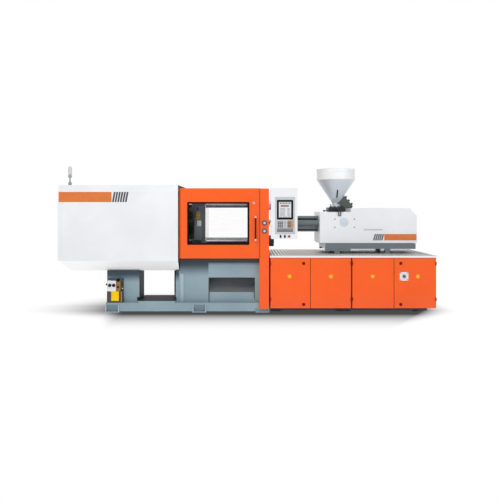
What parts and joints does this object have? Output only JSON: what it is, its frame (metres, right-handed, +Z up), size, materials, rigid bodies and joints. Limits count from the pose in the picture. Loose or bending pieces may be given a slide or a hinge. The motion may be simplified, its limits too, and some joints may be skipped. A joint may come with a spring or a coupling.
{
  "type": "injection moulding machine",
  "caption": "Horizontal injection moulding machine with a toggle clamp under a sheet hood, sliding safety gates, barrel and screw, hopper, control panel and cabinet base.",
  "frame": {"origin": "bottom centre of the whole machine, on the floor", "axes": "+X along the machine from the clamp to the hopper, -Y towards the operator, +Z up"},
  "size_m": [5.31, 1.38, 2.065],
  "materials": {
    "white_paint": "semi-gloss powder coat",
    "bed_grey_paint": "semi-gloss paint",
    "orange_paint": "semi-gloss powder coat",
    "grey_paint": "semi-gloss powder coat",
    "bright_steel": "ground",
    "chrome_steel": "hard chrome",
    "dark_steel": "blackened",
    "cast_platen": "painted casting",
    "sheet_steel": "brushed",
    "mica_band": "brushed",
    "clear_window": "clear sheet",
    "black_plastic": "satin",
    "amber_plastic": "gloss",
    "panel_grey": "satin",
    "tank_plastic": "satin, clouded",
    "lube_grey": "satin",
    "motor_grey": "painted"
  },
  "bodies": {
    "machine": {"clamp_bed": "bed_grey_paint", "product_chute": "sheet_steel", "gate_frame": "grey_paint", "clamp_cover": "white_paint", "signal_lamp": "grey_paint", "tail_platen": "cast_platen", "clamp_cylinder": "dark_steel", "tie_bars": "chrome_steel", "tie_bar_nuts": "dark_steel", "stationary_platen": "cast_platen", "front_post": "orange_paint", "rear_post": "orange_paint", "lube_unit": "lube_grey", "lube_tank": "tank_plastic", "base_frame": "bed_grey_paint", "table_deck": "sheet_steel", "power_unit": "motor_grey", "switchgear": "sheet_steel", "injection_rails": "grey_paint"},
    "front_gate": {"front_gate": "orange_paint", "front_gate_window": "clear_window", "front_gate_handle": "black_plastic"},
    "rear_gate": {"rear_gate": "orange_paint", "rear_gate_window": "clear_window"},
    "moving_platen": {"moving_platen": "cast_platen"},
    "ejector": {"ejector": "bright_steel"},
    "crosshead": {"crosshead": "bright_steel"},
    "injection_unit": {"injection_carriage": "cast_platen", "barrel": "bright_steel", "heater_bands": "mica_band", "nozzle": "bright_steel", "barrel_guard": "sheet_steel", "injection_cover": "white_paint", "hopper": "sheet_steel", "hopper_base": "bright_steel", "hopper_lid": "sheet_steel"},
    "shutoff_slide": {"shutoff_slide": "bright_steel"},
    "screw_drive": {"screw_drive": "dark_steel"},
    "screw": {"screw": "bright_steel"},
    "control_panel": {"control_panel": "panel_grey"},
    "rear_link_upper": {"rear_link_upper": "cast_platen"},
    "rear_link_lower": {"rear_link_lower": "cast_platen"},
    "front_link_upper": {"front_link_upper": "cast_platen"},
    "front_link_lower": {"front_link_lower": "cast_platen"},
    "crosshead_link_upper": {"crosshead_link_upper": "bright_steel"},
    "crosshead_link_lower": {"crosshead_link_lower": "bright_steel"},
    "panel_button_left": {"panel_button_left": "black_plastic"},
    "panel_button_middle": {"panel_button_middle": "black_plastic"},
    "panel_button_right": {"panel_button_right": "amber_plastic"},
    "post_button_upper": {"post_button_upper": "bright_steel"},
    "post_button_lower": {"post_button_lower": "bright_steel"},
    "door_1": {"door_1": "orange_paint"},
    "door_2": {"door_2": "orange_paint"},
    "door_3": {"door_3": "orange_paint"},
    "door_4": {"door_4": "orange_paint"},
    "latch_upper_1": {"latch_upper_1": "black_plastic"},
    "latch_lower_1": {"latch_lower_1": "black_plastic"},
    "latch_upper_4": {"latch_upper_4": "black_plastic"},
    "latch_lower_4": {"latch_lower_4": "black_plastic"},
    "main_switch": {"main_switch": "grey_paint"}
  },
  "joints": [
    {"name": "front_gate_slide", "type": "slide", "parent": "machine", "child": "front_gate", "axis": [-1, 0, 0], "range_m": [0, 1.04]},
    {"name": "rear_gate_slide", "type": "slide", "parent": "machine", "child": "rear_gate", "axis": [-1, 0, 0], "range_m": [0, 1.04]},
    {"name": "clamp_slide", "type": "slide", "parent": "machine", "child": "moving_platen", "axis": [1, 0, 0], "range_m": [0, 0.43]},
    {"name": "crosshead_slide", "type": "slide", "parent": "machine", "child": "crosshead", "axis": [1, 0, 0], "range_m": [0, 0.4385]},
    {"name": "rear_link_upper_pivot", "type": "hinge", "parent": "machine", "child": "rear_link_upper", "pos_m": [-1.32542, 0, 1.54], "axis": [0, 1, 0], "range_deg": [-145.79, 0]},
    {"name": "front_link_upper_pivot", "type": "hinge", "parent": "moving_platen", "child": "front_link_upper", "pos_m": [-0.89, 0, 1.48], "axis": [0, 1, 0], "range_deg": [0, 6.76]},
    {"name": "crosshead_link_upper_pivot", "type": "hinge", "parent": "crosshead", "child": "crosshead_link_upper", "pos_m": [-1.37714, 0, 1.345], "axis": [0, 1, 0], "range_deg": [-28.16, 0]},
    {"name": "rear_link_lower_pivot", "type": "hinge", "parent": "machine", "child": "rear_link_lower", "pos_m": [-1.32542, 0, 0.94], "axis": [0, 1, 0], "range_deg": [0, 145.79]},
    {"name": "front_link_lower_pivot", "type": "hinge", "parent": "moving_platen", "child": "front_link_lower", "pos_m": [-0.89, 0, 1], "axis": [0, 1, 0], "range_deg": [-6.76, 0]},
    {"name": "crosshead_link_lower_pivot", "type": "hinge", "parent": "crosshead", "child": "crosshead_link_lower", "pos_m": [-1.37714, 0, 1.135], "axis": [0, 1, 0], "range_deg": [0, 28.16]},
    {"name": "ejector_slide", "type": "slide", "parent": "moving_platen", "child": "ejector", "axis": [1, 0, 0], "range_m": [0, 0.1]},
    {"name": "carriage_slide", "type": "slide", "parent": "machine", "child": "injection_unit", "axis": [1, 0, 0], "range_m": [0, 0.25]},
    {"name": "screw_drive_slide", "type": "slide", "parent": "injection_unit", "child": "screw_drive", "axis": [1, 0, 0], "range_m": [0, 0.18]},
    {"name": "screw_spin", "type": "hinge", "parent": "screw_drive", "child": "screw", "pos_m": [1.2, 0, 1.24], "axis": [1, 0, 0], "continuous": true},
    {"name": "shutoff_pull", "type": "slide", "parent": "injection_unit", "child": "shutoff_slide", "axis": [0, -1, 0], "range_m": [0, 0.09]},
    {"name": "panel_swing", "type": "hinge", "parent": "machine", "child": "control_panel", "pos_m": [0.328, -0.644, 1.386], "axis": [0, 0, 1], "range_deg": [-90, 0]},
    {"name": "panel_button_left_press", "type": "slide", "parent": "control_panel", "child": "panel_button_left", "axis": [0, 1, 0], "range_m": [0, 0.004], "stiffness_N_per_m": 600},
    {"name": "panel_button_middle_press", "type": "slide", "parent": "control_panel", "child": "panel_button_middle", "axis": [0, 1, 0], "range_m": [0, 0.004], "stiffness_N_per_m": 600},
    {"name": "panel_button_right_press", "type": "slide", "parent": "control_panel", "child": "panel_button_right", "axis": [0, 1, 0], "range_m": [0, 0.004], "stiffness_N_per_m": 600},
    {"name": "post_button_upper_press", "type": "slide", "parent": "machine", "child": "post_button_upper", "axis": [0, 1, 0], "range_m": [0, 0.005], "stiffness_N_per_m": 800},
    {"name": "post_button_lower_press", "type": "slide", "parent": "machine", "child": "post_button_lower", "axis": [0, 1, 0], "range_m": [0, 0.005], "stiffness_N_per_m": 800},
    {"name": "door_1_hinge", "type": "hinge", "parent": "machine", "child": "door_1", "pos_m": [0.328, -0.657, 0.41], "axis": [0, 0, 1], "range_deg": [-110, 0]},
    {"name": "door_2_hinge", "type": "hinge", "parent": "machine", "child": "door_2", "pos_m": [1.457, -0.657, 0.41], "axis": [0, 0, 1], "range_deg": [0, 90]},
    {"name": "door_3_hinge", "type": "hinge", "parent": "machine", "child": "door_3", "pos_m": [1.475, -0.657, 0.41], "axis": [0, 0, 1], "range_deg": [-90, 0]},
    {"name": "door_4_hinge", "type": "hinge", "parent": "machine", "child": "door_4", "pos_m": [2.646, -0.657, 0.41], "axis": [0, 0, 1], "range_deg": [0, 110]},
    {"name": "latch_upper_1_turn", "type": "hinge", "parent": "door_1", "child": "latch_upper_1", "pos_m": [0.794, -0.65, 0.687], "axis": [0, 1, 0], "range_deg": [0, 90]},
    {"name": "latch_lower_1_turn", "type": "hinge", "parent": "door_1", "child": "latch_lower_1", "pos_m": [0.794, -0.65, 0.113], "axis": [0, 1, 0], "range_deg": [0, 90]},
    {"name": "latch_upper_4_turn", "type": "hinge", "parent": "door_4", "child": "latch_upper_4", "pos_m": [2.153, -0.65, 0.687], "axis": [0, 1, 0], "range_deg": [0, 90]},
    {"name": "latch_lower_4_turn", "type": "hinge", "parent": "door_4", "child": "latch_lower_4", "pos_m": [2.153, -0.65, 0.113], "axis": [0, 1, 0], "range_deg": [0, 90]},
    {"name": "main_switch_turn", "type": "hinge", "parent": "door_4", "child": "main_switch", "pos_m": [2.199, -0.654, 0.506], "axis": [0, 1, 0], "range_deg": [0, 90]}
  ],
  "couplings": [
    {"joint": "crosshead_slide", "follows": "clamp_slide", "ratio": 1.0189},
    {"joint": "rear_link_upper_pivot", "follows": "clamp_slide", "rad_per_m": -5.9155},
    {"joint": "rear_link_lower_pivot", "follows": "clamp_slide", "rad_per_m": 5.9155},
    {"joint": "front_link_upper_pivot", "follows": "clamp_slide", "rad_per_m": 0.27253},
    {"joint": "front_link_lower_pivot", "follows": "clamp_slide", "rad_per_m": -0.27253},
    {"joint": "crosshead_link_upper_pivot", "follows": "clamp_slide", "rad_per_m": -1.1409},
    {"joint": "crosshead_link_lower_pivot", "follows": "clamp_slide", "rad_per_m": 1.1409}
  ]
}
